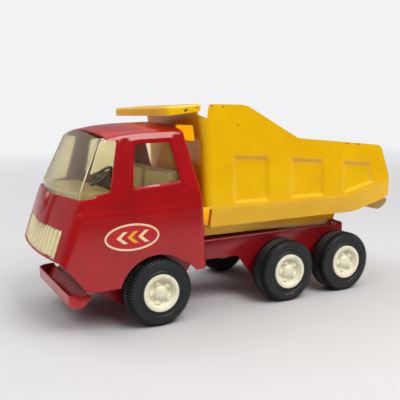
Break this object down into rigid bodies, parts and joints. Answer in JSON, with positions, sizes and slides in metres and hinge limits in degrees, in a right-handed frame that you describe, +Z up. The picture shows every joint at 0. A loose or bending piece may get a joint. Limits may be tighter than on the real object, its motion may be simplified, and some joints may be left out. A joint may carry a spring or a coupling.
{
  "type": "toy dump truck",
  "caption": "Pressed-steel toy dump truck with cab, tipping bed with cab canopy, and plastic wheels on steel axles.",
  "frame": {"origin": "ground level under the centre of the truck's length and width", "axes": "+X forward, +Y to the truck's left, +Z up; the wheels turn about Y"},
  "size_m": [0.2366, 0.0988, 0.1243],
  "materials": {
    "red_enamel": "gloss baked enamel",
    "yellow_enamel": "gloss baked enamel",
    "amber_glazing": "clear, yellowed",
    "cream_plastic": "moulded, satin",
    "black_plastic": "moulded",
    "tyre": "matt black vinyl",
    "steel": "bright drawn wire",
    "decal": "printed film"
  },
  "bodies": {
    "truck": {"chassis_frame": "red_enamel", "cab_shell": "red_enamel", "windshield": "amber_glazing", "grille": "cream_plastic", "cab_interior": "cream_plastic", "steering_wheel": "black_plastic", "door_decal_left": "decal", "door_decal_right": "decal", "cab_rivets": "steel", "hinge_pin": "red_enamel"},
    "bed": {"bed_side_left": "yellow_enamel", "bed_side_right": "yellow_enamel", "bed_floor": "yellow_enamel", "bed_headboard": "yellow_enamel", "bed_subframe": "yellow_enamel", "bed_rivets": "yellow_enamel"},
    "front_wheels": {"front_axle": "steel", "front_tyre_left": "tyre", "front_hub_left": "cream_plastic", "front_tyre_right": "tyre", "front_hub_right": "cream_plastic"},
    "mid_wheels": {"mid_axle": "steel", "mid_tyre_left": "tyre", "mid_hub_left": "cream_plastic", "mid_tyre_right": "tyre", "mid_hub_right": "cream_plastic"},
    "rear_wheels": {"rear_axle": "steel", "rear_tyre_left": "tyre", "rear_hub_left": "cream_plastic", "rear_tyre_right": "tyre", "rear_hub_right": "cream_plastic"}
  },
  "joints": [
    {"name": "front_wheels_spin", "type": "hinge", "parent": "truck", "child": "front_wheels", "pos_m": [0.05858, 0, 0.0195], "axis": [0, 1, 0], "continuous": true},
    {"name": "mid_wheels_spin", "type": "hinge", "parent": "truck", "child": "mid_wheels", "pos_m": [-0.02902, 0, 0.0195], "axis": [0, 1, 0], "continuous": true},
    {"name": "rear_wheels_spin", "type": "hinge", "parent": "truck", "child": "rear_wheels", "pos_m": [-0.07442, 0, 0.0195], "axis": [0, 1, 0], "continuous": true},
    {"name": "bed_tilt", "type": "hinge", "parent": "truck", "child": "bed", "pos_m": [-0.07892, 0, 0.0412], "axis": [0, -1, 0], "range_deg": [0, 55]}
  ]
}
